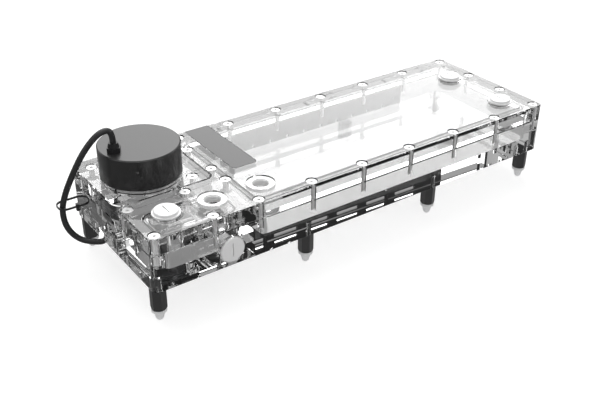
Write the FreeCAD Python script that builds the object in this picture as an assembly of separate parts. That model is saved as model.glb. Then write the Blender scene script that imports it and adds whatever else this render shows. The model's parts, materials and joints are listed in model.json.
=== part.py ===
import FreeCAD, Part
import math
import os

# A coolant reservoir with a pump, built from thick clear plates on hexagon feet.
# Millimetres. The origin is the centre of the block's underside: +X runs along the length,
# away from the pump, +Y to the far side and +Z up.
# Places in plan are measured from the pump end and the near side, and heights from the underside.

# Block
block_length = 380.0
block_width = 130.0
body_height = 30.0
seam_gap = 0.1
lid_thickness = 12.9
corner_radius = 5.0
edge_break = 0.6
contact_gap = 0.05

# Coolant chamber, milled into the body and on into the lid
end_wall = 11.5
side_wall = 12.0
bulkhead_x = 91.5
chamber_floor = 11.5
chamber_corner = 6.0
lid_pocket_depth = 5.9

# Outlet pocket beside the pump
pocket_start = 14.0
pocket_end = 72.0
pocket_width = 26.5
pocket_corner = 5.0

# Pump, volute and ducts
pump_x = 39.3
pump_inset = 39.7
volute_floor = 12.0
volute_radius = 19.8
volute_growth = 2.5
tongue_angle = 30.0
throat_length = 5.0
outlet_bore_radius = 3.9
outlet_bore_z = 16.0
eye_radius = 7.0
inlet_bore_radius = 3.75
duct_floor = 2.75
sump_offset = 2.5
sump_length = 16.0
sump_width = 16.0
sump_corner = 3.0

# Pump plate in the corner of the lid, reaching from the pump's axis to its inner edges
plate_reach_x = 39.7
plate_reach_y = 38.3
plate_gap = 0.4
plate_end_corner = 9.0
plate_inner_corner = 6.0
plate_back_corner = 2.0
plate_screw_pitch = 55.5

# Motor
flange_radius = 29.0
flange_thickness = 4.0
flange_clearance = 0.3
spigot_radius = 23.0
spigot_clearance = 0.2
spigot_gap = 0.6
can_radius = 13.0
can_wall = 1.0
can_depth = 20.0
can_roof = 2.0
shell_radius = 25.2
shell_wall = 1.4
shell_height = 26.0
stator_start = 2.0
stator_length = 13.0
stator_fit = 0.3
yoke_thickness = 3.6
tooth_count = 6
tooth_width = 5.0
coil_wire_depth = 2.0
coil_gap = 0.1
board_radius = 22.0
board_thickness = 1.6
board_gap = 0.3

# Rotor
impeller_radius = 18.6
impeller_lift = 1.6
shroud_thickness = 1.2
blade_height = 6.0
blade_thickness = 1.3
blade_count = 7
blade_sweep = 62.0
blade_start_radius = 6.9
impeller_eye = 6.4
boss_radius = 5.0
boss_drop = 3.5
neck_radius = 6.2
magnet_radius = 12.2
magnet_length = 15.0
magnet_start = 3.0
neck_overrun = 1.0
bush_radius = 4.0
pin_radius = 2.0
pin_clearance = 0.05
pin_collar_radius = 3.2
pin_collar_height = 1.2
thrust_gap = 0.3
pin_grip = 1.5

# Cap and collar
cap_radius = 30.75
cap_wall = 2.5
cap_roof = 3.0
cap_height = 24.35
cap_edge = 0.8
collar_radius = 30.3
collar_depth = 4.9
collar_spigot = 2.6
collar_fit = 0.2
collar_bore_gap = 0.4
collar_notches = 8
collar_turn = 26.0
notch_bite_width = 2.0
notch_bite_depth = 1.2

# Cable gland on the cap
gland_offset_x = -20.9
gland_offset_y = -2.7
gland_flats = 9.4
gland_hex_height = 3.4
gland_nose_radius = 4.2
gland_nose_height = 3.3
gland_nose_taper = 0.7
gland_thread_radius = 3.0
gland_thread_fit = 0.1
gland_nut_flats = 8.0
gland_nut_thickness = 2.0

# Countersunk screws
screw_radius = 2.0
screw_length = 22.0
screw_clearance = 0.25
tap_clearance = 0.05
tap_extra = 0.5
head_radius = 4.0
sink_radius = 4.7
hex_socket_flats = 2.5
hex_socket_depth = 1.5

# Where the lid's screws stand: from its edges, the bulkhead, the pump's axis and its plate
side_inset = 6.2
end_inset = 6.2
long_bays = 6
long_bay = 47.7
end_bays = 3
row_from_bulkhead = 2.4
screws_from_bulkhead = 6.7
screws_from_pump = (-45.5, -24.9, 11.4)
pocket_screw_x = 51.4
screws_from_plate = 6.2

# Threaded ports
port_bore_radius = 5.9
port_mouth = 0.6
port_rim_radius = 10.9
port_rim_height = 4.0
port_sleeve_radius = 8.6
port_length = 7.0
port_bore_room = 0.3
outlet_port_x = 62.4
inlet_port_x = 103.3
port_y = 25.8

# Screw plugs
plug_head_radius = 8.9
plug_head_height = 2.1
plug_head_edge = 0.5
plug_flange_radius = 10.3
plug_flange_height = 1.2
plug_shank_radius = 6.2
plug_shank_length = 8.5
plug_shank_clearance = 0.05
plug_slot_length = 11.0
plug_slot_width = 1.1
plug_slot_depth = 1.4
plug_seat_radius = 10.7
plug_seat_depth = 1.3
plug_seal_radius = 8.0
plug_seal_cord = 0.8
pocket_plug_x = 25.8
fill_plug_inset = 26.8
far_plug_inset = 41.5
side_plug_x = 62.7
side_plug_z = 13.1
side_plug_sink = 3.2
side_plug_head_radius = 9.7

# Sealing cords in the body's top face
gasket_cord = 0.75
gasket_inset = 2.0
pump_seal_cord = 0.9
pump_seal_radius = 26.0
groove_room = 0.3

# Trim plate let into the lid
trim_x = 98.0
trim_length = 21.0
trim_start = 54.0
trim_thickness = 2.0
trim_gap = 0.35
trim_corner = 3.0

# Slotted strip on the far face, with a row of small holes over the slots, and its screws
strip_start = 30.0
strip_end = 326.5
strip_bottom = 0.8
strip_top = 25.0
strip_thickness = 2.0
strip_hole_radius = 1.5
strip_hole_z = 9.1
strip_hole_pitch = 18.05
strip_hole_count = 15
strip_last_hole = 304.6
strip_slot_start = 48.0
strip_slot_pitch = 32.0
strip_slot_count = 8
strip_slot_length = 23.0
strip_slot_height = 3.0
strip_slot_z = 3.7
strip_screw_x = (43.0, 133.0, 223.0, 313.0)
strip_screw_z = 16.5
strip_screw_radius = 1.5
strip_screw_length = 9.0
strip_screw_head = 2.9
strip_screw_room = 0.3

# Feet
first_foot_x = 6.0
foot_pitch = 126.1
last_foot_inset = 10.5
foot_inset = 8.2
foot_flats = 10.5
foot_turn = 24.5
foot_hex_length = 18.0
foot_hex_edge = 0.8
foot_length = 27.8
foot_stud_radius = 2.0
foot_stud_length = 8.0
foot_stud_extra = 1.0
foot_core_length = 3.0
tip_rim_radius = 5.6
tip_rim_height = 2.2
tip_waist_radius = 4.0
tip_waist_drop = 1.7
tip_neck_radius = 3.4
tip_neck_drop = 1.8
tip_nose_radius = 2.8
tip_nose_length = 1.4
tip_flat_radius = 1.6

# Cable, its notch in the pump end, its connector and its tie
cable_radius = 2.25
notch_offset = -5.8
notch_width = 8.0
notch_height = 8.0
notch_depth = 26.0
connector_length = 12.0
connector_room = 0.25
connector_height = 7.2
tie_thickness = 0.8
tie_height = 1.5
tie_start = -24.6
tie_wall_gap = 0.5
tie_offset = 3.2
tie_width = 14.0
tie_corner = 5.8
tie_z = 28.0
tie_head_x = -13.0
tie_head_length = 1.9
tie_head_width = 2.4
tie_head_height = 5.8

pump_y = block_width - pump_inset
lid_bottom = body_height + seam_gap
lid_top = lid_bottom + lid_thickness
ceiling = lid_bottom + lid_pocket_depth
plate_length = pump_x + plate_reach_x
plate_near_edge = pump_y - plate_reach_y
gland_x = pump_x + gland_offset_x
cap_bottom = lid_top + contact_gap
cap_top = cap_bottom + cap_height
gland_top = cap_top + gland_hex_height + gland_nose_height
outlet_bore_x = pump_x + volute_radius + volute_growth - outlet_bore_radius
flange_top = body_height + flange_thickness
blade_bottom = volute_floor + impeller_lift + shroud_thickness
blade_top = blade_bottom + blade_height
spigot_bottom = blade_top + shroud_thickness + spigot_gap
connector_x = notch_depth - connector_length
connector_top = notch_height - contact_gap
connector_z = connector_top - connector_height / 2

# The cable's corner points by hand, with y from the pump's axis: out of the gland, over the
# cap's edge, down past the end face, under the block and up into its notch to the connector
cable_route = (
    (gland_x, gland_offset_y, gland_top),
    (18.4, -2.7, 80.6),
    (15.0, -2.7, 85.2),
    (6.8, -2.4, 83.2),
    (-3.5, -0.1, 71.8),
    (-12.2, 3.3, 55.0),
    (-19.0, 7.1, 38.0),
    (-22.0, 9.3, 24.0),
    (-21.1, 6.4, 10.6),
    (-13.9, 3.7, -0.1),
    (-5.9, -3.0, -1.7),
    (2.5, notch_offset, -3.0),
    (7.0, notch_offset, connector_z),
    (connector_x, notch_offset, connector_z),
)

os.makedirs("parts", exist_ok=True)
UP = FreeCAD.Vector(0, 0, 1)
ALONG = FreeCAD.Vector(1, 0, 0)
ACROSS = FreeCAD.Vector(0, 1, 0)
CENTRE = FreeCAD.Vector(0, 0, 0)


def spot(x, y, z=0.0):
    """A point given from the pump end, the near side and the underside."""
    return FreeCAD.Vector(x - block_length / 2, y - block_width / 2, z)


def outline(corners, z):
    """A closed wire through (x, y, radius) corners, each rounded by a tangent arc."""
    points = [spot(x, y, z) for x, y, _ in corners]
    count = len(points)
    starts, middles, ends = [], [], []
    for i in range(count):
        before = (points[i - 1] - points[i]).normalize()
        after = (points[(i + 1) % count] - points[i]).normalize()
        half = before.getAngle(after) / 2
        inward = (before + after).normalize()
        radius = corners[i][2]
        centre = points[i] + inward * (radius / math.sin(half))
        starts.append(points[i] + before * (radius / math.tan(half)))
        middles.append(centre - inward * radius)
        ends.append(points[i] + after * (radius / math.tan(half)))
    edges = []
    for i in range(count):
        edges.append(Part.Arc(starts[i], middles[i], ends[i]).toShape())
        edges.append(Part.LineSegment(ends[i], starts[(i + 1) % count]).toShape())
    return Part.Wire(edges)


def rectangle(x0, x1, y0, y1, radius):
    return [(x0, y0, radius), (x1, y0, radius), (x1, y1, radius), (x0, y1, radius)]


def grown(corners, margin):
    """A rectangle's corners moved outwards by a margin, with the radius to match."""
    (x0, y0, radius), _, (x1, y1, _), _ = corners
    return rectangle(x0 - margin, x1 + margin, y0 - margin, y1 + margin, radius + margin)


def prism(corners, bottom, top):
    return Part.Face(outline(corners, bottom)).extrude(UP * (top - bottom))


def broken_edges(solid):
    """The solid with a small chamfer along every edge that lies level."""
    level = [e for e in solid.Edges if abs(e.BoundBox.ZMax - e.BoundBox.ZMin) < 1e-6]
    return solid.makeChamfer(edge_break, level)


def disc(x, y, radius, bottom, top):
    return Part.makeCylinder(radius, top - bottom, spot(x, y, bottom))


def ring(x, y, outer, inner, bottom, top):
    return disc(x, y, outer, bottom, top).cut(disc(x, y, inner, bottom - 1, top + 1))


def cone(x, y, low_radius, high_radius, bottom, top):
    return Part.makeCone(low_radius, high_radius, top - bottom, spot(x, y, bottom))


def block(x0, x1, y0, y1, bottom, top):
    return Part.makeBox(x1 - x0, y1 - y0, top - bottom, spot(x0, y0, bottom))


def hexagon(x, y, flats, bottom, top, turn=0.0):
    """A hexagon bar with two corners along X, or turned from there by an angle."""
    reach = flats / math.sqrt(3)
    points = []
    for i in range(6):
        angle = math.radians(60 * i + turn)
        points.append(spot(x + reach * math.cos(angle), y + reach * math.sin(angle), bottom))
    wire = Part.makePolygon(points + points[:1])
    return Part.Face(wire).extrude(UP * (top - bottom))


def round_bar(start, direction, radius, length):
    return Part.makeCylinder(radius, length, start, direction)


def turned(profile):
    """A solid of revolution about Z at the origin from (radius, height) points."""
    points = [FreeCAD.Vector(radius, 0, height) for radius, height in profile]
    wire = Part.makePolygon(points + points[:1])
    return Part.Face(wire).revolve(CENTRE, UP, 360)


def cord_loop(corners, cord_radius, z):
    """A round sealing cord along a rounded rectangle."""
    path = outline(corners, z)
    start = path.Edges[0].valueAt(path.Edges[0].FirstParameter)
    profile = Part.Wire(Part.Circle(start, ACROSS, cord_radius).toShape())
    return path.makePipeShell([profile], True, False)


def cord_groove(corners, cord_radius):
    """What the cord's groove removes from the body's top face."""
    half = cord_radius + groove_room
    depth = 2 * cord_radius - seam_gap
    outer = prism(grown(corners, half), body_height - depth, body_height + 1)
    inner = prism(grown(corners, -half), body_height - depth - 1, body_height + 2)
    return outer.cut(inner)


def save(name, shape):
    shape.exportStep("parts/" + name + ".step")


chamber = rectangle(
    bulkhead_x, block_length - end_wall, side_wall, block_width - side_wall, chamber_corner
)
pocket = rectangle(
    pocket_start, pocket_end, side_wall, side_wall + pocket_width, pocket_corner
)


def lid_screw_spots():
    """Both long rows, the far end, the bulkhead and round the pocket."""
    last_x = block_length - end_inset
    first_x = bulkhead_x - row_from_bulkhead
    far_y = block_width - side_inset
    spots = []
    for x in [first_x] + [last_x - k * long_bay for k in range(long_bays)]:
        spots += [(x, side_inset), (x, far_y)]
    for k in range(1, end_bays):
        spots.append((last_x, side_inset + k * (far_y - side_inset) / end_bays))
    spots += [(bulkhead_x - screws_from_bulkhead, pump_y + y) for y in screws_from_pump]
    for x in (end_inset, pocket_screw_x):
        spots += [(x, side_inset), (x, plate_near_edge - screws_from_plate)]
    return spots


def plate_screw_spots():
    reach = plate_screw_pitch / 2
    signs = ((-1, -1), (1, -1), (1, 1), (-1, 1))
    return [(pump_x + reach * a, pump_y + reach * b) for a, b in signs]


def foot_spots():
    places = [first_foot_x + k * foot_pitch for k in range(3)] + [block_length - last_foot_inset]
    return [(x, y) for x in places for y in (foot_inset, block_width - foot_inset)]


def top_plug_spots():
    fill_x = block_length - fill_plug_inset
    return {
        "pocket_plug": (pocket_plug_x, port_y),
        "fill_plug_near": (fill_x, port_y),
        "fill_plug_far": (fill_x, block_width - far_plug_inset),
    }


head_top = lid_top - (sink_radius - head_radius) + contact_gap
screw_tip = head_top - screw_length


def screw_hole(x, y):
    """Countersink and clearance hole through the upper plate."""
    radius = screw_radius + screw_clearance
    sink = cone(x, y, radius, sink_radius, lid_top - (sink_radius - radius), lid_top)
    return disc(x, y, radius, lid_bottom - 1, lid_top + 1).fuse(sink)


def tapped_hole(x, y):
    radius = screw_radius + tap_clearance
    return disc(x, y, radius, screw_tip - tap_extra, body_height + 1)


def screw(x, y):
    """Countersunk screw with a hexagon socket."""
    cone_bottom = head_top - (head_radius - screw_radius)
    body = disc(x, y, screw_radius, screw_tip, cone_bottom)
    body = body.fuse(cone(x, y, screw_radius, head_radius, cone_bottom, head_top))
    socket = hexagon(x, y, hex_socket_flats, head_top - hex_socket_depth, head_top + 1)
    return body.cut(socket).removeSplitter()


def scroll():
    """The volute: a wall that steps outwards by quarter arcs, clockwise from its tongue."""
    growth_per_degree = volute_growth / (360 - tongue_angle)

    def wall(turned_by):
        radius = volute_radius + growth_per_degree * turned_by
        angle = math.radians(-tongue_angle - turned_by)
        x = pump_x + radius * math.cos(angle)
        return spot(x, pump_y + radius * math.sin(angle), volute_floor)

    step = (360 - tongue_angle) / 4
    edges = []
    for k in range(4):
        arc = Part.Arc(wall(k * step), wall((k + 0.5) * step), wall((k + 1) * step))
        edges.append(arc.toShape())
    start, end = wall(0), wall(4 * step)
    throat = end - ACROSS * throat_length
    edges.append(Part.LineSegment(end, throat).toShape())
    edges.append(Part.LineSegment(throat, start).toShape())
    return Part.Face(Part.Wire(edges)).extrude(UP * (body_height + 1 - volute_floor))


def ducts():
    """Eye, suction bore and sump on the chamber's side, delivery bore on the pocket's."""
    sump_x = bulkhead_x + sump_offset
    eye = disc(pump_x, pump_y, eye_radius, duct_floor, volute_floor + 1)
    inlet_start = spot(pump_x, pump_y, duct_floor + inlet_bore_radius)
    inlet = round_bar(inlet_start, ALONG, inlet_bore_radius, sump_x + 1 - pump_x)
    sump_corners = rectangle(
        sump_x,
        sump_x + sump_length,
        pump_y - sump_width / 2,
        pump_y + sump_width / 2,
        sump_corner,
    )
    sump = prism(sump_corners, duct_floor, chamber_floor + 1)
    pocket_wall = side_wall + pocket_width
    outlet_start = spot(outlet_bore_x, pocket_wall - 1, outlet_bore_z)
    outlet = round_bar(outlet_start, ACROSS, outlet_bore_radius, pump_y + 1 - pocket_wall)
    return [eye, inlet, sump, outlet]


def side_plug_hole():
    start = spot(side_plug_x, -1, side_plug_z)
    hole = round_bar(start, ACROSS, plug_shank_radius + plug_shank_clearance, side_wall + 2)
    seat_depth = plug_seat_depth + side_plug_sink
    return hole.fuse(round_bar(start, ACROSS, plug_seat_radius, seat_depth + 1))


def tank_body():
    """Lower block with everything the coolant runs through."""
    whole = rectangle(0, block_length, 0, block_width, corner_radius)
    body = broken_edges(prism(whole, 0, body_height))
    cuts = [prism(chamber, chamber_floor, body_height + 1)]
    cuts.append(prism(pocket, chamber_floor, body_height + 1))
    cuts += [scroll()] + ducts() + [side_plug_hole()]
    spigot_seat = spigot_radius + spigot_clearance
    cuts.append(disc(pump_x, pump_y, spigot_seat, spigot_bottom - contact_gap, body_height + 1))
    cuts.append(cord_groove(grown(chamber, gasket_inset), gasket_cord))
    cuts.append(cord_groove(grown(pocket, gasket_inset), gasket_cord))
    seal_half = pump_seal_cord + groove_room
    seal_floor = body_height - 2 * pump_seal_cord + contact_gap
    seal_outer = pump_seal_radius + seal_half
    seal_inner = pump_seal_radius - seal_half
    cuts.append(ring(pump_x, pump_y, seal_outer, seal_inner, seal_floor, body_height + 1))
    cuts += [tapped_hole(x, y) for x, y in lid_screw_spots() + plate_screw_spots()]
    stud_hole = foot_stud_radius + tap_clearance
    stud_depth = foot_stud_length + foot_stud_extra
    cuts += [disc(x, y, stud_hole, -1, stud_depth) for x, y in foot_spots()]
    cuts += [strip_screw_hole(x) for x in strip_screw_x]
    notch_y = pump_y + notch_offset
    notch_near = notch_y - notch_width / 2
    notch_far = notch_y + notch_width / 2
    cuts.append(block(-1, notch_depth, notch_near, notch_far, -1, notch_height))
    return body.cut(cuts)


def port_hole(x):
    """Stepped hole for a port ring, and the plain bore on below it."""
    seat_bottom = lid_top - port_rim_height - contact_gap
    sleeve_bottom = lid_top - port_length - contact_gap
    seat = disc(x, port_y, port_rim_radius + contact_gap, seat_bottom, lid_top + 1)
    sleeve = disc(x, port_y, port_sleeve_radius + contact_gap, sleeve_bottom, lid_top)
    bore = disc(x, port_y, port_bore_radius + port_bore_room, lid_bottom - 1, lid_top)
    return seat.fuse([sleeve, bore])


def plug_hole(x, y):
    hole = disc(x, y, plug_shank_radius + plug_shank_clearance, lid_bottom - 1, lid_top + 1)
    return hole.fuse(disc(x, y, plug_seat_radius, lid_top - plug_seat_depth, lid_top + 1))


def trim_recess():
    x0 = trim_x - trim_gap
    x1 = trim_x + trim_length + trim_gap
    corner = trim_corner + trim_gap
    start = trim_start - trim_gap
    recess = rectangle(x0, x1, start, block_width + 2 * corner, corner)
    return prism(recess, lid_top - trim_thickness - contact_gap, lid_top + 1)


def lid_plate():
    """Upper plate, with the pump's corner left out."""
    inner_x = plate_length + plate_gap
    inner_y = plate_near_edge - plate_gap
    corners = [
        (0, 0, corner_radius),
        (block_length, 0, corner_radius),
        (block_length, block_width, corner_radius),
        (inner_x, block_width, plate_back_corner),
        (inner_x, inner_y, plate_inner_corner + plate_gap),
        (0, inner_y, corner_radius),
    ]
    lid = broken_edges(prism(corners, lid_bottom, lid_top))
    cuts = [prism(chamber, lid_bottom - 1, ceiling)]
    cuts += [port_hole(x) for x in (outlet_port_x, inlet_port_x)]
    cuts += [plug_hole(x, y) for x, y in top_plug_spots().values()]
    cuts += [screw_hole(x, y) for x, y in lid_screw_spots()]
    cuts.append(trim_recess())
    return lid.cut(cuts)


def pump_plate():
    """The plate that clamps the motor's flange down on its seal."""
    corners = [
        (0, plate_near_edge, plate_end_corner),
        (plate_length, plate_near_edge, plate_inner_corner),
        (plate_length, block_width, plate_back_corner),
        (0, block_width, corner_radius),
    ]
    plate = broken_edges(prism(corners, lid_bottom, lid_top))
    bore = disc(pump_x, pump_y, shell_radius + flange_clearance, lid_bottom, lid_top + 1)
    seat_radius = flange_radius + flange_clearance
    seat = disc(pump_x, pump_y, seat_radius, lid_bottom - 1, flange_top + contact_gap)
    ledge = lid_top - collar_depth - contact_gap
    room = disc(pump_x, pump_y, collar_radius + contact_gap, ledge, lid_top + 1)
    return plate.cut([bore, seat, room] + [screw_hole(x, y) for x, y in plate_screw_spots()])


def port_ring(x):
    """Bright threaded ring, flush with the lid."""
    rim_bottom = lid_top - port_rim_height
    sleeve_bottom = lid_top - port_length
    body = disc(x, port_y, port_rim_radius, rim_bottom, lid_top)
    body = body.fuse(disc(x, port_y, port_sleeve_radius, sleeve_bottom, rim_bottom))
    bore = disc(x, port_y, port_bore_radius, sleeve_bottom - 1, lid_top + 1)
    wide = port_bore_radius + port_mouth
    mouth = cone(x, port_y, port_bore_radius, wide, lid_top - port_mouth, lid_top)
    return body.cut([bore, mouth]).removeSplitter()


flange_under = 2 * plug_seal_cord - plug_seat_depth + contact_gap


def plug(head_radius=plug_head_radius):
    """A screw plug standing at the origin of a face, with its seal lying in its seat."""
    flange_over = flange_under + plug_flange_height
    top = flange_over + plug_head_height
    body = turned(
        [
            (0, flange_under - plug_shank_length),
            (plug_shank_radius, flange_under - plug_shank_length),
            (plug_shank_radius, flange_under),
            (plug_flange_radius, flange_under),
            (plug_flange_radius, flange_over),
            (head_radius, flange_over),
            (head_radius, top - plug_head_edge),
            (head_radius - plug_head_edge, top),
            (0, top),
        ]
    )
    corner = FreeCAD.Vector(-plug_slot_width / 2, -plug_slot_length / 2, top - plug_slot_depth)
    slot = Part.makeBox(plug_slot_width, plug_slot_length, plug_slot_depth + 1, corner)
    return body.cut(slot)


def plug_seal():
    height = flange_under - plug_seal_cord
    return Part.makeTorus(plug_seal_radius, plug_seal_cord, FreeCAD.Vector(0, 0, height), UP)


def placed(shape, place, tilt=0):
    """The shape moved from the origin to a place, tilted by an angle about its length first."""
    shape.rotate(CENTRE, ALONG, tilt)
    shape.translate(place)
    return shape


def save_plugs():
    for name, (x, y) in top_plug_spots().items():
        save(name, placed(plug(), spot(x, y, lid_top)))
        save(name + "_seal", placed(plug_seal(), spot(x, y, lid_top)))
    side = spot(side_plug_x, side_plug_sink, side_plug_z)
    save("side_plug", placed(plug(side_plug_head_radius), side, 90))
    save("side_plug_seal", placed(plug_seal(), side, 90))


def trim_plate():
    corners = [
        (trim_x, trim_start, trim_corner),
        (trim_x + trim_length, trim_start, trim_corner),
        (trim_x + trim_length, block_width, edge_break),
        (trim_x, block_width, edge_break),
    ]
    return prism(corners, lid_top - trim_thickness, lid_top)


def strip_screw_shape(radius, head_radius, length):
    """A countersunk screw, or its hole in the strip, standing at the origin of the far face."""
    top = contact_gap + strip_thickness
    cone_bottom = top - (head_radius - radius)
    profile = [
        (0, top - length), (radius, top - length), (radius, cone_bottom), (head_radius, top), (0, top)
    ]
    return turned(profile)


def on_far_face(shape, x, z):
    return placed(shape, spot(x, block_width, z), -90)


def back_strip():
    """Flat strip screwed to the far face."""
    y0 = block_width + contact_gap
    y1 = y0 + strip_thickness
    strip = block(strip_start, strip_end, y0, y1, strip_bottom, strip_top)
    cuts = []
    for k in range(strip_hole_count):
        start = spot(strip_last_hole - k * strip_hole_pitch, y0 - 1, strip_hole_z)
        cuts.append(round_bar(start, ACROSS, strip_hole_radius, strip_thickness + 2))
    low, high = strip_slot_z - strip_slot_height / 2, strip_slot_z + strip_slot_height / 2
    for k in range(strip_slot_count):
        x = strip_slot_start + k * strip_slot_pitch
        cuts.append(block(x, x + strip_slot_length, y0 - 1, y1 + 1, low, high))
    radius = strip_screw_radius + contact_gap
    for x in strip_screw_x:
        hole = strip_screw_shape(radius, strip_screw_head + contact_gap, strip_screw_length)
        cuts.append(on_far_face(hole, x, strip_screw_z))
    return strip.cut(cuts)


def back_strip_screws():
    screws = []
    for x in strip_screw_x:
        body = strip_screw_shape(strip_screw_radius, strip_screw_head, strip_screw_length)
        screws.append(on_far_face(body, x, strip_screw_z))
    return Part.makeCompound(screws)


def strip_screw_hole(x):
    start = spot(x, block_width + 1, strip_screw_z)
    depth = strip_screw_length - contact_gap - strip_thickness + strip_screw_room
    return round_bar(start, -ACROSS, strip_screw_radius + tap_clearance, depth + 1)


def motor_can():
    """Flange, the spigot that closes the volute, and the thin can that keeps the windings dry."""
    roof = body_height + can_depth
    flange_bottom = body_height + contact_gap
    spigot = disc(pump_x, pump_y, spigot_radius, spigot_bottom, flange_bottom)
    flange = disc(pump_x, pump_y, flange_radius, flange_bottom, flange_top)
    can = disc(pump_x, pump_y, can_radius + can_wall, flange_top, roof + can_roof)
    bore = disc(pump_x, pump_y, can_radius, spigot_bottom - 1, roof)
    pin_hole = disc(pump_x, pump_y, pin_radius, roof - 1, roof + pin_grip)
    return flange.fuse([spigot, can]).cut([bore, pin_hole]).removeSplitter()


def motor_shell():
    """Inner housing over the windings."""
    top = flange_top + shell_height
    shell = disc(pump_x, pump_y, shell_radius, flange_top, top)
    hollow = disc(pump_x, pump_y, shell_radius - shell_wall, flange_top - 1, top - shell_wall)
    return shell.cut(hollow)


stator_bottom = flange_top + stator_start
stator_top = stator_bottom + stator_length
yoke_outer = shell_radius - shell_wall - stator_fit
yoke_inner = yoke_outer - yoke_thickness
tooth_start = can_radius + can_wall + stator_fit


def tooth_shape(start, end, half_width, bottom, top):
    """A radial bar along X from the pump's axis, for one tooth or what lies round it."""
    near, far = pump_y - half_width, pump_y + half_width
    return block(pump_x + start, pump_x + end, near, far, bottom, top)


def around_pump(shape, count):
    """Copies of a shape spaced evenly round the pump's axis."""
    copies = []
    for k in range(count):
        copy = shape.copy()
        copy.rotate(spot(pump_x, pump_y), UP, 360 * k / count)
        copies.append(copy)
    return copies


def stator_core():
    """Laminated yoke with its teeth."""
    yoke = ring(pump_x, pump_y, yoke_outer, yoke_inner, stator_bottom, stator_top)
    tooth = tooth_shape(tooth_start, yoke_inner + 1, tooth_width / 2, stator_bottom, stator_top)
    bore = disc(pump_x, pump_y, tooth_start, stator_bottom - 1, stator_top + 1)
    return yoke.fuse(around_pump(tooth, tooth_count)).cut(bore).removeSplitter()


def stator_coils():
    """One winding round each tooth."""
    half = tooth_width / 2 + coil_gap
    start = tooth_start + coil_wire_depth
    end = yoke_inner - coil_gap - 1
    low, high = stator_bottom - coil_gap, stator_top + coil_gap
    outer_low, outer_high = low - coil_wire_depth + coil_gap, high + coil_wire_depth
    outer = tooth_shape(start, end, half + coil_wire_depth, outer_low, outer_high)
    coil = outer.cut(tooth_shape(start - 1, end + 1, half, low, high))
    return Part.makeCompound(around_pump(coil, tooth_count))


def control_board():
    bottom = body_height + can_depth + can_roof + board_gap
    return disc(pump_x, pump_y, board_radius, bottom, bottom + board_thickness)


magnet_bottom = body_height + magnet_start
neck_top = magnet_bottom + magnet_length + neck_overrun


def blade():
    """One backward-curved blade between two arcs."""

    def curve(shift):
        points = []
        for share in (0.0, 0.5, 1.0):
            radius = blade_start_radius + share * (impeller_radius - blade_start_radius)
            angle = math.radians(blade_sweep * share) + shift / radius
            x = pump_x + radius * math.cos(angle)
            points.append(spot(x, pump_y + radius * math.sin(angle), blade_bottom))
        return points

    front = curve(0.0)
    back = curve(blade_thickness)
    edges = [Part.Arc(*front).toShape(), Part.LineSegment(front[2], back[2]).toShape()]
    edges += [Part.Arc(*back[::-1]).toShape(), Part.LineSegment(back[0], front[0]).toShape()]
    return Part.Face(Part.Wire(edges)).extrude(UP * blade_height)


def impeller():
    """Closed impeller: eye ring, blades and hub disc, with the neck that carries the magnet."""
    low = ring(
        pump_x, pump_y, impeller_radius, impeller_eye, blade_bottom - shroud_thickness, blade_bottom
    )
    disc_top = blade_top + shroud_thickness
    high = disc(pump_x, pump_y, impeller_radius, blade_top, disc_top)
    boss = disc(pump_x, pump_y, boss_radius, blade_top - boss_drop, blade_top)
    neck = disc(pump_x, pump_y, neck_radius, disc_top, neck_top)
    body = low.fuse([high, boss, neck] + around_pump(blade(), blade_count))
    bore = disc(pump_x, pump_y, bush_radius, blade_top - boss_drop - 1, neck_top + 1)
    return body.cut(bore).removeSplitter()


def rotor_magnet():
    top = magnet_bottom + magnet_length
    return ring(pump_x, pump_y, magnet_radius, neck_radius, magnet_bottom, top)


def bearing_bush():
    bottom = blade_top - boss_drop
    return ring(pump_x, pump_y, bush_radius, pin_radius + pin_clearance, bottom, neck_top)


def bearing_pin():
    """Fixed pin hanging from the can's roof, with a thrust collar under the bush."""
    collar_top = blade_top - boss_drop - thrust_gap
    bottom = collar_top - pin_collar_height
    top = body_height + can_depth + pin_grip
    pin = disc(pump_x, pump_y, pin_radius, bottom, top)
    return pin.fuse(disc(pump_x, pump_y, pin_collar_radius, bottom, collar_top)).removeSplitter()


def pump_seal():
    centre = spot(pump_x, pump_y, body_height + contact_gap - pump_seal_cord)
    return Part.makeTorus(pump_seal_radius, pump_seal_cord, centre, UP)


def pump_cap():
    """Turned cap with a drilled hole for the gland."""
    centre = spot(pump_x, pump_y)
    profile = [
        (0, cap_bottom),
        (cap_radius, cap_bottom),
        (cap_radius, cap_top - cap_edge),
        (cap_radius - cap_edge, cap_top),
        (0, cap_top),
    ]
    body = placed(turned(profile), centre)
    hollow = disc(pump_x, pump_y, cap_radius - cap_wall, cap_bottom - 1, cap_top - cap_roof)
    hole_radius = gland_thread_radius + gland_thread_fit
    hole = disc(gland_x, pump_y + gland_offset_y, hole_radius, cap_bottom, cap_top + 1)
    return body.cut([hollow, hole])


def cap_collar():
    """Ring let into the plate, with tool notches, and the spigot that the cap screws on."""
    inner = shell_radius + collar_bore_gap
    bottom = lid_top - collar_depth
    body = ring(pump_x, pump_y, collar_radius, inner, bottom, lid_top)
    outer = cap_radius - cap_wall - collar_fit
    spigot = ring(pump_x, pump_y, outer, inner, lid_top, cap_bottom + collar_spigot)
    bite = tooth_shape(
        collar_radius - notch_bite_depth,
        collar_radius + 1,
        notch_bite_width / 2,
        bottom - 1,
        lid_top,
    )
    bite.rotate(spot(pump_x, pump_y), UP, collar_turn)
    return body.fuse(spigot).cut(around_pump(bite, collar_notches)).removeSplitter()


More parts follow.
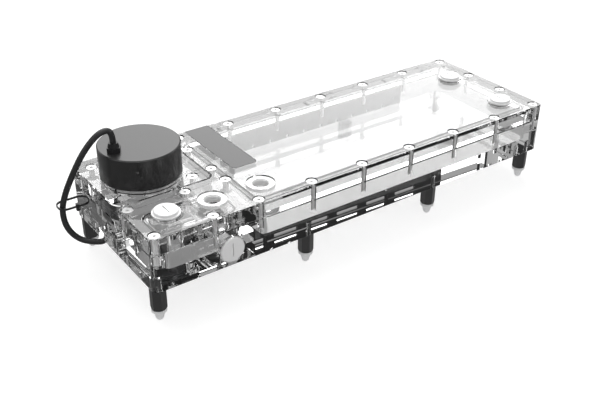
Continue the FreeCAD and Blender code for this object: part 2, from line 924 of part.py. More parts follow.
def cable_gland():
    """Hexagon, tapered nose and the thread through the cap."""
    y = pump_y + gland_offset_y
    hex_top = cap_top + gland_hex_height
    tip_radius = gland_nose_radius - gland_nose_taper
    nose = cone(gland_x, y, gland_nose_radius, tip_radius, hex_top, gland_top)
    thread_bottom = cap_top - cap_roof - gland_nut_thickness
    thread = disc(gland_x, y, gland_thread_radius, thread_bottom, cap_top)
    return hexagon(gland_x, y, gland_flats, cap_top, hex_top).fuse([nose, thread])


def gland_nut():
    y = pump_y + gland_offset_y
    top = cap_top - cap_roof
    nut = hexagon(gland_x, y, gland_nut_flats, top - gland_nut_thickness, top)
    bore = disc(gland_x, y, gland_thread_radius, top - gland_nut_thickness - 1, top + 1)
    return nut.cut(bore)


def standoff(x, y):
    """Hexagon spacer, turned off at its lower end, with studs up into the block and its tip."""
    bar = hexagon(x, y, foot_flats, -foot_hex_length, -contact_gap, foot_turn)
    corner = foot_flats / math.sqrt(3)
    length = foot_hex_length
    low = cone(x, y, corner - foot_hex_edge, corner + length, -length, foot_hex_edge)
    studs = disc(x, y, foot_stud_radius, -length - foot_core_length, foot_stud_length)
    return bar.common(low).fuse(studs).removeSplitter()


def foot_tip(x, y):
    """Waisted rubber tip on the stud under the spacer."""
    rim_top = -foot_hex_length - contact_gap
    rim_bottom = rim_top - tip_rim_height
    waist = rim_bottom - tip_waist_drop
    profile = [
        (0, rim_top),
        (tip_rim_radius, rim_top),
        (tip_rim_radius, rim_bottom),
        (tip_waist_radius, waist),
        (tip_neck_radius, waist - tip_neck_drop),
        (tip_nose_radius, tip_nose_length - foot_length),
        (tip_flat_radius, -foot_length),
        (0, -foot_length),
    ]
    body = placed(turned(profile), spot(x, y))
    room_bottom = rim_top - foot_core_length
    return body.cut(disc(x, y, foot_stud_radius + contact_gap, room_bottom, 0))


def cable_connector():
    """Plain connector body held in the end of the notch."""
    half = notch_width / 2 - connector_room
    y = pump_y + notch_offset
    bottom = connector_top - connector_height
    x1 = notch_depth - contact_gap
    return block(connector_x, x1, y - half, y + half, bottom, connector_top)


def cable():
    """Round cable along straight runs joined by tangent arcs, as large as the runs allow."""
    points = [spot(x, pump_y + y, z) for x, y, z in cable_route]
    edges = []
    last = points[0]
    for i in range(1, len(points) - 1):
        before = points[i - 1] - points[i]
        after = points[i + 1] - points[i]
        half = before.getAngle(after) / 2
        reach = 0.45 * min(before.Length, after.Length)
        radius = reach * math.tan(half)
        print("cable radius at point", i, round(radius, 1))
        before.normalize()
        after.normalize()
        start = points[i] + before * reach
        end = points[i] + after * reach
        inward = (before + after).normalize()
        middle = points[i] + inward * (radius / math.sin(half) - radius)
        edges.append(Part.LineSegment(last, start).toShape())
        edges.append(Part.Arc(start, middle, end).toShape())
        last = end
    edges.append(Part.LineSegment(last, points[-1]).toShape())
    path = Part.Wire(edges)
    length = sum(e.Length for e in edges)
    profile = Part.Wire(Part.Circle(points[0], points[1] - points[0], cable_radius).toShape())
    tube = path.makePipeShell([profile], True, False)
    print("cable length", round(length, 1), "volume", round(tube.Volume, 1))
    print("section times length", round(math.pi * cable_radius**2 * length, 1))
    return tube


def cable_tie():
    """Loose loop round the cable that reaches the end face, with its lock."""
    near = pump_y + tie_offset
    strap = rectangle(tie_start, -tie_wall_gap, near, near + tie_width, tie_corner)
    bottom, top = tie_z - tie_height / 2, tie_z + tie_height / 2
    loop = prism(strap, bottom, top).cut(prism(grown(strap, -tie_thickness), bottom - 1, top + 1))
    lock_end = tie_head_x + tie_head_length
    lock_y = near + tie_thickness
    lock_bottom, lock_top = tie_z - tie_head_height / 2, tie_z + tie_head_height / 2
    lock = block(tie_head_x, lock_end, lock_y - tie_head_width, lock_y, lock_bottom, lock_top)
    return loop.fuse(lock).removeSplitter()


save("tank_body", tank_body())
save("lid_plate", lid_plate())
save("pump_plate", pump_plate())
gasket_z = body_height + seam_gap - gasket_cord
save("lid_gasket", cord_loop(grown(chamber, gasket_inset), gasket_cord, gasket_z))
save("outlet_gasket", cord_loop(grown(pocket, gasket_inset), gasket_cord, gasket_z))
save("lid_screws", Part.makeCompound([screw(x, y) for x, y in lid_screw_spots()]))
save("pump_plate_screws", Part.makeCompound([screw(x, y) for x, y in plate_screw_spots()]))
save("port_ring_outlet", port_ring(outlet_port_x))
save("port_ring_inlet", port_ring(inlet_port_x))
save_plugs()
save("trim_plate", trim_plate())
save("back_strip", back_strip())
save("back_strip_screws", back_strip_screws())
save("motor_can", motor_can())
save("motor_shell", motor_shell())
save("stator_core", stator_core())
save("stator_coils", stator_coils())
save("control_board", control_board())
save("impeller", impeller())
save("rotor_magnet", rotor_magnet())
save("bearing_bush", bearing_bush())
save("bearing_pin", bearing_pin())
save("pump_seal", pump_seal())
save("pump_cap", pump_cap())
save("cap_collar", cap_collar())
save("cable_gland", cable_gland())
save("gland_nut", gland_nut())
save("foot_standoffs", Part.makeCompound([standoff(x, y) for x, y in foot_spots()]))
save("foot_tips", Part.makeCompound([foot_tip(x, y) for x, y in foot_spots()]))
save("cable_connector", cable_connector())
save("pump_cable", cable())
save("cable_tie", cable_tie())
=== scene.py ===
"""The looks of a clear coolant reservoir with a pump in one corner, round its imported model."""
import json
import math

import bmesh
import bpy
from mathutils import Matrix, Vector


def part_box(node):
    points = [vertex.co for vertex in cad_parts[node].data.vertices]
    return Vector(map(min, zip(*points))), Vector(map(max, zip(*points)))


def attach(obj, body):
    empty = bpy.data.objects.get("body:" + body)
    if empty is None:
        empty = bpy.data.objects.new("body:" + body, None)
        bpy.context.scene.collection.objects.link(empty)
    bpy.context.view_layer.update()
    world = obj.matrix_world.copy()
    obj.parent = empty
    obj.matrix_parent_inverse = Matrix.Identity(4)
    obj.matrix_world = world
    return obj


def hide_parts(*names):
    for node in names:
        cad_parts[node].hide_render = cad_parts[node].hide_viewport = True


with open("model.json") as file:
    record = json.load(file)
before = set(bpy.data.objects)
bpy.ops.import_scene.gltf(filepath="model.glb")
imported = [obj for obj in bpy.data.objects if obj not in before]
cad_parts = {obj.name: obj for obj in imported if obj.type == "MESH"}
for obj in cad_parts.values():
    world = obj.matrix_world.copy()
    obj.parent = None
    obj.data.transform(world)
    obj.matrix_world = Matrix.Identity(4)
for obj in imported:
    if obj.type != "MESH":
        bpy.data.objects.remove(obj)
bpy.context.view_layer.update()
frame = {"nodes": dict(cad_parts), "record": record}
scene = bpy.context.scene
scene.view_settings.view_transform = "Standard"
MM = 0.001

# The photograph's camera: its place, its directions and its lens
camera_place = (-0.392247, -0.513853, 0.362849)
camera_forward = (0.50192694, 0.69794534, -0.51082448)
camera_right = (0.81432442, -0.58036555, 0.00718042)
camera_lens = 53.09
camera_sensor = 36.0
camera_near = 10 * MM

# Mirrored light is lost after this many bounces, which draws dark lines in the thick plates
mirror_bounces = 5

# Glass and metal see a dim room with a bright screen, which the top faces mirror.
# The screen fades between two angles off its direction.
room_light = 0.05
screen_direction = (0.478, 0.665, 0.574)
screen_inner = math.radians(15.0)
screen_outer = math.radians(27.0)
screen_light = 2.9

# Two dim screens at its left and right, which the block's own faces mirror.
# They fade by the cosine of the angle off their axis.
side_axis = (-0.584, 0.812, 0.0)
side_outer = 0.55
side_inner = 0.9
side_light = 0.5

# Four panels square to the block, which its top mirrors to its sides and ends.
# They fade by a direction's slant, the product of its x and y, and by its height, z.
# Below the gaps' height they join in a ring.
panel_light = 1.3
panel_inner = 0.08
panel_outer = 0.26
panel_low = 0.12
panel_high = 0.26
gap_low = 0.33
gap_high = 0.42

# Plain surfaces are lit evenly from all sides, and softly from above
even_light = 0.7
lamp_place = (0.1, 0.5, 1.3)
lamp_width = 1.4
lamp_depth = 1.0
lamp_power = 9.0

# The floor: its share of glow and of shadow, and what glass and metal see of it, a glow with a
# painted shadow under the block that is darker under the pump end
floor_reach = 6.0
floor_glow = 0.66
floor_color = 0.5
# Painted shadow: the levels of the floor's glow that glass and metal see under the block and
# under the pump end
under_block_painted_shadow = 0.36
under_pump_painted_shadow = 0.26
pump_end_blend = 10 * MM
far_floor = 0.1
lit_margin = 0.12
dark_margin = 0.4

# Main places of the block
block_length = 380 * MM
block_width = 130 * MM
pump_x = 39.3 * MM - block_length / 2
pump_y = 90.3 * MM - block_width / 2
bulkhead_x = 91.5 * MM - block_length / 2
floor_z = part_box("foot_tips")[0][2]

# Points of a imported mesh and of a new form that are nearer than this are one
packed_join = 1e-6
form_join = 1e-7


def place_camera():
    forward = Vector(camera_forward)
    right = Vector(camera_right)
    up = right.cross(forward)
    turn = Matrix((right, up, -forward)).transposed()
    data = bpy.data.cameras.new("camera")
    data.lens = camera_lens
    data.sensor_width = camera_sensor
    data.clip_start = camera_near
    camera = bpy.data.objects.new("camera", data)
    camera.matrix_world = Matrix.Translation(camera_place) @ turn.to_4x4()
    scene.collection.objects.link(camera)
    scene.camera = camera


place_camera()


def new_material(name):
    material = bpy.data.materials.new(name)
    material.use_nodes = True
    tree = material.node_tree
    tree.nodes.clear()
    out = tree.nodes.new("ShaderNodeOutputMaterial")
    shader = tree.nodes.new("ShaderNodeBsdfPrincipled")
    tree.links.new(shader.outputs["BSDF"], out.inputs["Surface"])
    return material, tree, shader


def noise(tree, scale, detail=3.0, stretch=(1, 1, 1)):
    """A noise pattern on the object's own coordinates."""
    coordinates = tree.nodes.new("ShaderNodeTexCoord")
    mapping = tree.nodes.new("ShaderNodeMapping")
    mapping.inputs["Scale"].default_value = stretch
    pattern = tree.nodes.new("ShaderNodeTexNoise")
    pattern.inputs["Scale"].default_value = scale
    pattern.inputs["Detail"].default_value = detail
    tree.links.new(coordinates.outputs["Object"], mapping.inputs["Vector"])
    tree.links.new(mapping.outputs["Vector"], pattern.inputs["Vector"])
    return pattern.outputs["Fac"]


def spread(tree, value, low, high):
    """The 0 to 1 value mapped to a range."""
    node = tree.nodes.new("ShaderNodeMapRange")
    node.inputs["To Min"].default_value = low
    node.inputs["To Max"].default_value = high
    tree.links.new(value, node.inputs["Value"])
    return node.outputs["Result"]


# A Mix node's colour sockets, which share their names with others
mix_color_a = 6
mix_color_b = 7
mix_color_out = 2


def tint(tree, value, dark, light):
    """A colour between two greys or tints, picked by a 0 to 1 value."""
    node = tree.nodes.new("ShaderNodeMix")
    node.data_type = "RGBA"
    node.inputs[mix_color_a].default_value = (*dark, 1)
    node.inputs[mix_color_b].default_value = (*light, 1)
    tree.links.new(value, node.inputs["Factor"])
    return node.outputs[mix_color_out]


def bump(tree, shader, height, strength, distance):
    node = tree.nodes.new("ShaderNodeBump")
    node.inputs["Strength"].default_value = strength
    node.inputs["Distance"].default_value = distance
    tree.links.new(height, node.inputs["Height"])
    tree.links.new(node.outputs["Normal"], shader.inputs["Normal"])


# Scale of each finish's pattern, the shade of its valleys, and its grain's depth and strength
smudge_scale = 60.0
haze_scale = 220.0
moulded_scale = 700.0
turned_scale = 900.0
turned_stretch = (1, 1, 6)
blasted_scale = 1800.0
turned_valley = 0.86
grain_valley = 0.8
blasted_depth = 0.04 * MM
blasted_strength = 0.12
moulded_depth = 0.05 * MM
moulded_strength = 0.15

# Refraction of each clear or lacquered surface
acrylic_ior = 1.49
rubber_ior = 1.42
anodised_ior = 1.6


def grained(name, grain_noise, color, valley, roughness, swing):
    """A finish whose colour and roughness follow a grain, given as a noise's settings."""
    material, tree, shader = new_material(name)
    grain = noise(tree, *grain_noise)
    dark = tuple(valley * c for c in color)
    tree.links.new(tint(tree, grain, dark, color), shader.inputs["Base Color"])
    low, high = swing
    gloss = spread(tree, grain, roughness + low, roughness + high)
    tree.links.new(gloss, shader.inputs["Roughness"])
    return material, tree, shader, grain


def clear_acrylic():
    """Flame-polished acrylic with faint smudges."""
    material, tree, shader = new_material("clear_acrylic")
    shader.inputs["Base Color"].default_value = (1, 1, 1, 1)
    shader.inputs["Transmission Weight"].default_value = 1.0
    shader.inputs["IOR"].default_value = acrylic_ior
    smudge = noise(tree, smudge_scale)
    tree.links.new(spread(tree, smudge, 0.0, 0.03), shader.inputs["Roughness"])
    return material


def turned_metal(name, light, roughness, metallic=1.0):
    """Bright metal with faint machining grain; a satin one scatters part of its light."""
    lines = (turned_scale, 4.0, turned_stretch)
    material, _, shader, _ = grained(name, lines, light, turned_valley, roughness, (-0.06, 0.06))
    shader.inputs["Metallic"].default_value = metallic
    return material


def anodised(name, grey, roughness):
    """Black anodised layer with a fine blasted grain, which shines like a dark lacquer."""
    light = (grey, grey, grey * 1.02)
    material, tree, shader, grain = grained(
        name, (blasted_scale, 2.0), light, grain_valley, roughness, (-0.05, 0.05))
    shader.inputs["IOR"].default_value = anodised_ior
    bump(tree, shader, grain, blasted_strength, blasted_depth)
    return material


def moulded(name, color, roughness):
    """Plastic or rubber with a fine moulded grain."""
    material, tree, shader, grain = grained(
        name, (moulded_scale,), color, grain_valley, roughness, (-0.06, 0.08))
    bump(tree, shader, grain, moulded_strength, moulded_depth)
    return material


def translucent_rubber():
    """Milky rubber with a soft haze."""
    material, tree, shader = new_material("translucent_rubber")
    haze = noise(tree, haze_scale)
    light = (0.86, 0.86, 0.86)
    tree.links.new(tint(tree, haze, (0.72, 0.72, 0.73), light), shader.inputs["Base Color"])
    shader.inputs["Transmission Weight"].default_value = 0.45
    shader.inputs["IOR"].default_value = rubber_ior
    tree.links.new(spread(tree, haze, 0.3, 0.5), shader.inputs["Roughness"])
    return material


finishes = {
    "acrylic": clear_acrylic(),
    "screw_steel": turned_metal("screw_steel", (0.92, 0.92, 0.92), 0.34, 0.45),
    "bright_metal": turned_metal("satin_nickel", (0.91, 0.91, 0.91), 0.42, 0.55),
    "collar_metal": turned_metal("turned_aluminium", (0.88, 0.88, 0.88), 0.24, 0.7),
    "cap_black": anodised("black_anodised", 0.01, 0.3),
    "trim_dark": anodised("dark_anodised", 0.03, 0.3),
    "gland_black": moulded("black_nylon", (0.012, 0.012, 0.013), 0.36),
    "seal_rubber": moulded("seal_rubber", (0.02, 0.02, 0.021), 0.5),
    "cable_rubber": moulded("cable_jacket", (0.016, 0.016, 0.017), 0.42),
    "foot_black": anodised("black_standoff", 0.02, 0.34),
    "foot_clear": translucent_rubber(),
    "motor_plastic": moulded("motor_plastic", (0.03, 0.03, 0.032), 0.4),
    "rotor_plastic": moulded("rotor_plastic", (0.05, 0.05, 0.052), 0.4),
    "lamination": turned_metal("laminated_steel", (0.42, 0.42, 0.43), 0.4),
    "copper": turned_metal("copper_wire", (0.72, 0.38, 0.2), 0.35),
    "board_green": moulded("board_green", (0.03, 0.13, 0.06), 0.35),
    "magnet": moulded("magnet", (0.05, 0.05, 0.052), 0.45),
    "bearing": turned_metal("ground_steel", (0.7, 0.7, 0.71), 0.2),
}

slot_of = {part["node"]: part["material_slot"] for part in frame["record"]["subparts"]}
body_of = {
    node: body for body, nodes in frame["record"]["behaviour"]["bodies"].items() for node in nodes
}


def paint(thing, finish):
    thing.data.materials.clear()
    thing.data.materials.append(finish)


for node, thing in frame["nodes"].items():
    paint(thing, finishes[slot_of[node]])


def stand_for(piece, node):
    """The piece is shown in place of a node, on the node's body and in the finish of the node's
    slot.
    """
    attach(piece, body_of[node])
    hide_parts(node)
    paint(piece, finishes[slot_of[node]])


# A plane is at least this many times as large as the strips of the round faces beside it
plane_share = 2.5

# Faces that meet at less than these angles lie in one plane, or are shaded as one round face
plane_angle = 0.002
crease_angle = math.radians(30.0)
turned_crease = math.radians(32.0)


def plane_regions(mesh):
    """The mesh's faces in groups that lie in one plane, with each group's area."""
    group_of, areas = {}, []
    for first in mesh.faces:
        if first in group_of:
            continue
        group_of[first] = len(areas)
        waiting, area = [first], 0.0
        while waiting:
            face = waiting.pop()
            area += face.calc_area()
            for edge in face.edges:
                if len(edge.link_faces) == 2 and edge.calc_face_angle(0.0) < plane_angle:
                    for other in edge.link_faces:
                        if other not in group_of:
                            group_of[other] = len(areas)
                            waiting.append(other)
        areas.append(area)
    return group_of, areas


def shade_round_faces(mesh):
    """Round faces are shaded round, while the planes that run into them stay flat."""
    group_of, areas = plane_regions(mesh)
    widest = [0.0] * len(areas)
    for edge in mesh.edges:
        if len(edge.link_faces) != 2 or edge.calc_face_angle(0.0) > crease_angle:
            continue
        one, two = (group_of[face] for face in edge.link_faces)
        if one != two:
            widest[one] = max(widest[one], areas[two])
            widest[two] = max(widest[two], areas[one])
    for face in mesh.faces:
        group = group_of[face]
        face.smooth = areas[group] < plane_share * widest[group]


def smooth_copy(node):
    """A node's mesh with its points joined, so that its round faces are shaded round."""
    mesh = frame["nodes"][node].data.copy()
    mesh.attributes.remove(mesh.attributes["custom_normal"])
    joined = bmesh.new()
    joined.from_mesh(mesh)
    bmesh.ops.remove_doubles(joined, verts=joined.verts, dist=packed_join)
    bmesh.ops.dissolve_degenerate(joined, edges=joined.edges, dist=form_join)
    shade_round_faces(joined)
    joined.to_mesh(mesh)
    joined.free()
    mesh.set_sharp_from_angle(angle=crease_angle)
    piece = bpy.data.objects.new(node + "_smooth", mesh)
    scene.collection.objects.link(piece)
    stand_for(piece, node)
    return piece


smooth_nodes = [
    "tank_body", "lid_plate", "pump_plate", "pump_cap", "foot_standoffs", "foot_tips",
    "cable_gland", "motor_can", "motor_shell", "impeller", "rotor_magnet",
]
for node in smooth_nodes:
    smooth_copy(node)

# The trim plate's top edge is chamfered all round; faces this level belong to its top
trim_chamfer = 0.7 * MM
trim_level = 0.99


def chamfer_trim():
    piece = smooth_copy("trim_plate")
    form = bmesh.new()
    form.from_mesh(piece.data)
    top = [face for face in form.faces if face.normal.z > trim_level]
    rim = [edge for edge in form.edges if sum(face in top for face in edge.link_faces) == 1]
    bmesh.ops.bevel(form, geom=rim, offset=trim_chamfer, offset_type="OFFSET", affect="EDGES",
                    segments=1, profile=0.5, material=-1, clamp_overlap=True)
    form.to_mesh(piece.data)
    form.free()


chamfer_trim()

# Threads: M4 of the screws and G1/4 of the plugs and ports.
# A crest is flat between two shares of the pitch.
screw_pitch = 0.7 * MM
screw_thread = 0.4 * MM
pipe_pitch = 1.337 * MM
pipe_thread = 0.7 * MM
crest_start = 0.4
crest_end = 0.6


def tidied(form):
    """The form with its points joined and its faces outward."""
    bmesh.ops.remove_doubles(form, verts=form.verts, dist=form_join)
    bmesh.ops.recalc_face_normals(form, faces=form.faces)
    return form


def lathe(profile, steps, ring=False):
    """The surface that (radius, height) points sweep about Z; a ring's line is closed first."""
    form = bmesh.new()
    points = [form.verts.new((radius, 0, height)) for radius, height in profile]
    lines = [form.edges.new(pair) for pair in zip(points, points[1:])]
    if ring:
        lines.append(form.edges.new((points[-1], points[0])))
    bmesh.ops.spin(form, geom=points + lines, axis=(0, 0, 1), angle=2 * math.pi, steps=steps,
                   use_merge=True)
    return tidied(form)


def thread(top, bottom, crest, root, pitch):
    """Zigzag points of a thread, from its top down."""
    turns = int((top - bottom) / pitch)
    points = []
    for turn in range(turns):
        height = top - turn * pitch
        points.append((root, height))
        points += [(crest, height - share * pitch) for share in (crest_start, crest_end)]
    return points + [(root, top - turns * pitch), (root, bottom)]


def finished(form, name, node):
    """The form as a piece that stands for a node, shaded round between its creases."""
    mesh = bpy.data.meshes.new(name)
    for face in form.faces:
        face.smooth = True
    form.to_mesh(mesh)
    form.free()
    mesh.set_sharp_from_angle(angle=turned_crease)
    piece = bpy.data.objects.new(name, mesh)
    scene.collection.objects.link(piece)
    stand_for(piece, node)


def solids_of(node):
    """The lowest and highest corners of each solid in a node."""
    form = bmesh.new()
    form.from_mesh(frame["nodes"][node].data)
    bmesh.ops.remove_doubles(form, verts=form.verts, dist=packed_join)
    seen, boxes = set(), []
    for first in form.verts:
        if first in seen:
            continue
        seen.add(first)
        waiting, corners = [first], []
        while waiting:
            point = waiting.pop()
            corners.append(point.co.copy())
            for edge in point.link_edges:
                other = edge.other_vert(point)
                if other not in seen:
                    seen.add(other)
                    waiting.append(other)
        low = Vector([min(c[i] for c in corners) for i in range(3)])
        high = Vector([max(c[i] for c in corners) for i in range(3)])
        boxes.append((low, high))
    form.free()
    return boxes


# Countersunk screw with a hexagon socket, turned a little further on each next screw
screw_radius = 2.0 * MM
screw_length = 22.0 * MM
screw_steps = 24
thread_relief = 0.2 * MM
head_radius = 4.0 * MM
head_edge = 0.12 * MM
socket_flats = 2.5 * MM
socket_side = math.radians(60.0)
socket_depth = 1.5 * MM
socket_turn = math.radians(37.0)


def screw_form():
    """One screw, with its head's top face at the origin."""
    cone_bottom = screw_radius - head_radius
    root = screw_radius - screw_thread
    profile = [(head_radius - head_edge, 0), (head_radius, -head_edge)]
    profile += [(screw_radius, cone_bottom)]
    start = cone_bottom - thread_relief
    profile += thread(start, -screw_length, screw_radius, root, screw_pitch)
    profile.append((0, -screw_length))
    form = lathe(profile, screw_steps)
    rim = [edge for edge in form.edges if edge.is_boundary]
    inner = bmesh.ops.extrude_edge_only(form, edges=rim)["geom"]
    for point in (g for g in inner if isinstance(g, bmesh.types.BMVert)):
        turn = math.atan2(point.co.y, point.co.x) % socket_side - socket_side / 2
        reach = socket_flats / 2 / math.cos(turn)
        point.co.xy *= reach / point.co.xy.length
    edges = [g for g in inner if isinstance(g, bmesh.types.BMEdge)]
    floor = bmesh.ops.extrude_edge_only(form, edges=edges)["geom"]
    points = [g for g in floor if isinstance(g, bmesh.types.BMVert)]
    bmesh.ops.translate(form, verts=points, vec=(0, 0, -socket_depth))
    bmesh.ops.edgeloop_fill(form, edges=[g for g in floor if isinstance(g, bmesh.types.BMEdge)])
    return tidied(form)


def make_screws(node):
    pattern = bpy.data.meshes.new(node + "_one")
    one = screw_form()
    one.to_mesh(pattern)
    one.free()
    form = bmesh.new()
    for number, (low, high) in enumerate(solids_of(node)):
        others = set(form.verts)
        form.from_mesh(pattern)
        points = [point for point in form.verts if point not in others]
        turn = Matrix.Rotation(socket_turn * number, 3, "Z")
        bmesh.ops.rotate(form, verts=points, matrix=turn)
        centre = (low + high) / 2
        bmesh.ops.translate(form, verts=points, vec=(centre.x, centre.y, high.z))
    finished(form, node + "_threaded", node)


for node in ("lid_screws", "pump_plate_screws"):
    make_screws(node)

# Threaded port ring: its face just below the lid's, grooved where the lid holds its rim
rim_radius = 10.9 * MM
rim_height = 6.9 * MM
rim_drop = 0.9 * MM
rim_edge = 0.15 * MM
rim_bite = 0.12 * MM
sleeve_radius = 8.6 * MM
ring_length = 7.0 * MM
bore_radius = 5.9 * MM
bore_mouth = 0.6 * MM
groove_count = 6
groove_steps = 20
groove_angle = math.radians(26.0)
groove_share = 0.1
groove_depth = 0.6 * MM


def make_port_ring(node):
    low, high = (Vector(corner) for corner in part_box(node))
    mouth = -rim_drop - bore_mouth
    bore = thread(mouth, -ring_length, bore_radius, bore_radius + pipe_thread, pipe_pitch)
    profile = [(bore_radius + bore_mouth, -rim_drop), (rim_radius - rim_edge, -rim_drop)]
    profile += [(rim_radius, -rim_drop - rim_edge), (rim_radius + rim_bite, -rim_drop - rim_edge)]
    profile += [(rim_radius + rim_bite, -rim_height)]
    profile += [(sleeve_radius, -rim_height), (sleeve_radius, -ring_length)]
    form = lathe(profile + bore[::-1], groove_steps * groove_count, ring=True)
    for point in form.verts:
        angle = math.atan2(point.co.y, point.co.x) - groove_angle
        turn = angle / (2 * math.pi) * groove_count
        outside = point.co.xy.length > rim_radius + rim_bite / 2
        if outside and abs(turn - round(turn)) < groove_share / 2:
            point.co.xy *= (rim_radius - groove_depth) / rim_radius
    centre = (low + high) / 2
    bmesh.ops.translate(form, verts=form.verts, vec=(centre.x, centre.y, high.z))
    finished(form, node + "_threaded", node)


for node in ("port_ring_outlet", "port_ring_inlet"):
    make_port_ring(node)

# Screw plugs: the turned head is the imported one, and its shank gets a thread
shank_radius = 6.2 * MM
shank_length = 8.5 * MM
shank_steps = 48
cut_below_flange = 0.05 * MM


def make_plug(node, inward):
    """A plug whose shank points inward along an axis."""
    inward = Vector(inward)
    low, high = (Vector(corner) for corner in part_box(node))
    tip = Vector([high[i] if inward[i] > 0 else low[i] for i in range(3)])
    centre = (low + high) / 2
    end = centre + inward * (tip - centre).dot(inward)
    length = shank_length - cut_below_flange
    cut = end - inward * length
    form = bmesh.new()
    mesh = frame["nodes"][node].data.copy()
    mesh.attributes.remove(mesh.attributes["custom_normal"])
    form.from_mesh(mesh)
    bmesh.ops.remove_doubles(form, verts=form.verts, dist=packed_join)
    everything = form.verts[:] + form.edges[:] + form.faces[:]
    bmesh.ops.bisect_plane(form, geom=everything, plane_co=cut, plane_no=inward, clear_outer=True)
    bmesh.ops.holes_fill(form, edges=[edge for edge in form.edges if edge.is_boundary])
    root = shank_radius - pipe_thread
    shank = thread(0, -length, shank_radius, root, pipe_pitch)
    shank_mesh = bpy.data.meshes.new(node + "_shank")
    turned = lathe([(0, 0)] + shank + [(0, -length)], shank_steps)
    turned.to_mesh(shank_mesh)
    turned.free()
    head = set(form.verts)
    form.from_mesh(shank_mesh)
    points = [point for point in form.verts if point not in head]
    turn = Vector((0, 0, -1)).rotation_difference(inward).to_matrix()
    bmesh.ops.rotate(form, verts=points, matrix=turn)
    bmesh.ops.translate(form, verts=points, vec=cut)
    finished(form, node + "_threaded", node)


for node in ("pocket_plug", "fill_plug_near", "fill_plug_far"):
    make_plug(node, (0, 0, -1))
make_plug("side_plug", (0, 1, 0))

# The collar is pressed into the pump plate, so the plate shows its side
collar_radius = 30.3 * MM
collar_press = 0.15 * MM
collar_play = 0.05 * MM


def press_collar():
    piece = smooth_copy("cap_collar")
    for point in piece.data.vertices:
        reach = math.hypot(point.co.x - pump_x, point.co.y - pump_y)
        if abs(reach - collar_radius) < collar_play:
            share = collar_press / reach
            point.co.x += (point.co.x - pump_x) * share
            point.co.y += (point.co.y - pump_y) * share


press_collar()

# The cable's points in millimetres: x from the pump end, y from the pump's axis and z from
# the underside
cable_diameter = 4.5 * MM
cable_route = (
    (18.4, -2.7, 74.1),
    (18.4, -2.7, 80.6),
    (15.0, -2.7, 85.2),
    (6.8, -2.4, 83.2),
    (-3.5, -0.1, 71.8),
    (-12.2, 3.3, 55.0),
    (-19.0, 7.1, 38.0),
    (-22.0, 9.3, 24.0),
    (-21.1, 6.4, 10.6),
    (-13.9, 3.7, -0.1),
    (-5.9, -3.0, -1.7),
    (2.5, -5.8, -3.0),
    (7.0, -5.8, 4.35),
    (14.0, -5.8, 4.35),
)


def make_cable():
    data = bpy.data.curves.new("pump_lead", "CURVE")
    data.dimensions = "3D"
    data.bevel_depth = cable_diameter / 2
    data.bevel_resolution = 6
    data.resolution_u = 10
    data.use_fill_caps = True
    spline = data.splines.new("NURBS")
    spline.points.add(len(cable_route) - 1)
    for point, (x, y, z) in zip(spline.points, cable_route):
        point.co = (x * MM - block_length / 2, y * MM + pump_y, z * MM, 1)
    spline.order_u = 3
    spline.use_endpoint_u = True
    cable = bpy.data.objects.new("pump_lead", data)
    scene.collection.objects.link(cable)
    data.materials.append(finishes["cable_rubber"])
    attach(cable, "reservoir")
    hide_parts("pump_cable")


make_cable()


def math_node(tree, operation, first, second=None, clamped=False):
    node = tree.nodes.new("ShaderNodeMath")
    node.operation = operation
    node.use_clamp = clamped
    tree.links.new(first, node.inputs[0])
    if second is not None:
        tree.links.new(second, node.inputs[1])
    return node.outputs["Value"]


def vector_node(tree, operation, first, second=(0, 0, 0)):
    node = tree.nodes.new("ShaderNodeVectorMath")
    node.operation = operation
    tree.links.new(first, node.inputs[0])
    node.inputs[1].default_value = second
    return node.outputs["Value" if operation in ("LENGTH", "DOT_PRODUCT") else "Vector"]


def split_node(tree, vector):
    node = tree.nodes.new("ShaderNodeSeparateXYZ")
    tree.links.new(vector, node.inputs["Vector"])
    return node.outputs


def mix_shaders(tree, share, first, second):
    node = tree.nodes.new("ShaderNodeMixShader")
    tree.links.new(share, node.inputs["Fac"])
    tree.links.new(first, node.inputs[1])
    tree.links.new(second, node.inputs[2])
    return node.outputs["Shader"]


def ramp(tree, value, start, end, low, high):
    """A smooth step from one level to another."""
    node = tree.nodes.new("ShaderNodeMapRange")
    node.interpolation_type = "SMOOTHSTEP"
    node.inputs["From Min"].default_value = start
    node.inputs["From Max"].default_value = end
    node.inputs["To Min"].default_value = low
    node.inputs["To Max"].default_value = high
    tree.links.new(value, node.inputs["Value"])
    return node.outputs["Result"]


def floor_painted_shadow_for_glass(tree):
    """The floor's light for glass and metal: a painted shadow under the block, darker under the
    pump end, and fading away from the block.
    """
    place = tree.nodes.new("ShaderNodeTexCoord").outputs["Object"]
    reach = (block_length / 2, block_width / 2, 1)
    outside = vector_node(tree, "SUBTRACT", vector_node(tree, "ABSOLUTE", place), reach)
    distance = vector_node(tree, "LENGTH", vector_node(tree, "MAXIMUM", outside))
    fade = ramp(tree, distance, lit_margin, dark_margin, 1.0, far_floor)
    start, end = bulkhead_x - pump_end_blend, bulkhead_x + pump_end_blend
    # Painted shadow: the glow is dimmer under the pump end than under the rest of the block
    level = ramp(tree, split_node(tree, place)["X"], start, end, under_pump_painted_shadow, under_block_painted_shadow)
    return math_node(tree, "MULTIPLY", fade, level)


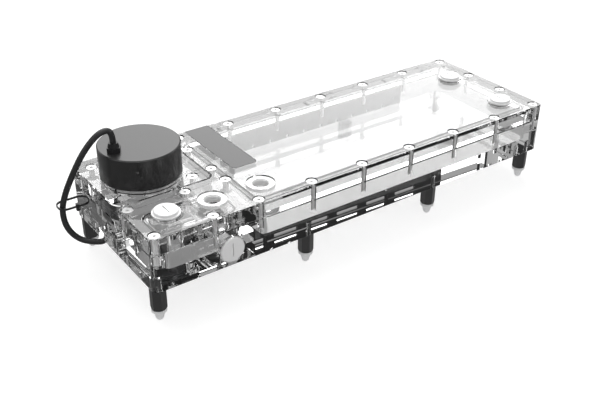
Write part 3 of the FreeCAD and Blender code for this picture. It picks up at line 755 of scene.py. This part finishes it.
def make_floor():
    """A white floor that keeps a light shadow, and that glass and metal see too, as a glow with a
    painted shadow.
    """
    form = bmesh.new()
    bmesh.ops.create_grid(form, x_segments=1, y_segments=1, size=floor_reach)
    bmesh.ops.translate(form, verts=form.verts, vec=(0, 0, floor_z))
    mesh = bpy.data.meshes.new("floor")
    form.to_mesh(mesh)
    form.free()
    floor = bpy.data.objects.new("floor", mesh)
    scene.collection.objects.link(floor)
    material, tree, shader = new_material("floor_white")
    shader.inputs["Base Color"].default_value = (floor_color, floor_color, floor_color, 1)
    shader.inputs["Roughness"].default_value = 0.9
    shader.inputs["Specular IOR Level"].default_value = 0.0
    shader.inputs["Emission Color"].default_value = (1, 1, 1, 1)
    shader.inputs["Emission Strength"].default_value = floor_glow
    # Glass and metal see this glow in place of the lit floor, with its painted shadow under the
    # block and pump end
    glow = tree.nodes.new("ShaderNodeEmission")
    tree.links.new(floor_painted_shadow_for_glass(tree), glow.inputs["Strength"])
    rays = tree.nodes.new("ShaderNodeLightPath").outputs
    either = math_node(tree, "MAXIMUM", rays["Is Glossy Ray"], rays["Is Transmission Ray"])
    either = math_node(tree, "SUBTRACT", either, rays["Diffuse Depth"], clamped=True)
    surface = mix_shaders(tree, either, shader.outputs["BSDF"], glow.outputs["Emission"])
    out = next(n for n in tree.nodes if n.type == "OUTPUT_MATERIAL")
    tree.links.new(surface, out.inputs["Surface"])
    mesh.materials.append(material)


def room_seen_by_glass(tree):
    """The room's light in each direction: its screens and panels, and little elsewhere."""
    direction = tree.nodes.new("ShaderNodeTexCoord").outputs["Generated"]
    nearness = vector_node(tree, "DOT_PRODUCT", direction, screen_direction)
    start, end = math.cos(screen_outer), math.cos(screen_inner)
    screen = ramp(tree, nearness, start, end, room_light, screen_light)
    across = vector_node(tree, "DOT_PRODUCT", direction, side_axis)
    across = math_node(tree, "ABSOLUTE", across)
    sides = ramp(tree, across, side_outer, side_inner, 0.0, side_light)
    x, y, z = split_node(tree, direction)
    slant = math_node(tree, "ABSOLUTE", math_node(tree, "MULTIPLY", x, y))
    gaps = math_node(tree, "MULTIPLY", slant, ramp(tree, z, gap_low, gap_high, 0.0, 1.0))
    panels = ramp(tree, gaps, panel_inner, panel_outer, panel_light, 0.0)
    height = ramp(tree, z, panel_low, panel_high, 0.0, 1.0)
    panels = math_node(tree, "MULTIPLY", panels, height)
    return math_node(tree, "MAXIMUM", screen, math_node(tree, "MAXIMUM", sides, panels))


def background(tree, strength=1.0):
    node = tree.nodes.new("ShaderNodeBackground")
    node.inputs["Color"].default_value = (1, 1, 1, 1)
    node.inputs["Strength"].default_value = strength
    return node


def make_world():
    """White to the camera, a room with screens to glass and metal, and even to the rest."""
    world = bpy.data.worlds.new("studio")
    scene.world = world
    world.use_nodes = True
    tree = world.node_tree
    tree.nodes.clear()
    out = tree.nodes.new("ShaderNodeOutputWorld")
    white = background(tree).outputs["Background"]
    even = background(tree, even_light).outputs["Background"]
    room = background(tree)
    tree.links.new(room_seen_by_glass(tree), room.inputs["Strength"])
    rays = tree.nodes.new("ShaderNodeLightPath").outputs
    light = mix_shaders(tree, rays["Diffuse Depth"], room.outputs["Background"], even)
    seen = mix_shaders(tree, rays["Is Camera Ray"], light, white)
    tree.links.new(seen, out.inputs["Surface"])


def make_lamp():
    """A large soft lamp above and behind the object, turned to it."""
    data = bpy.data.lights.new("overhead", "AREA")
    data.shape = "RECTANGLE"
    data.size = lamp_width
    data.size_y = lamp_depth
    data.energy = lamp_power
    lamp = bpy.data.objects.new("overhead", data)
    lamp.location = lamp_place
    lamp.rotation_euler = (-Vector(lamp_place)).to_track_quat("-Z", "Y").to_euler()
    scene.collection.objects.link(lamp)


make_floor()
make_world()
make_lamp()
scene.cycles.glossy_bounces = mirror_bounces
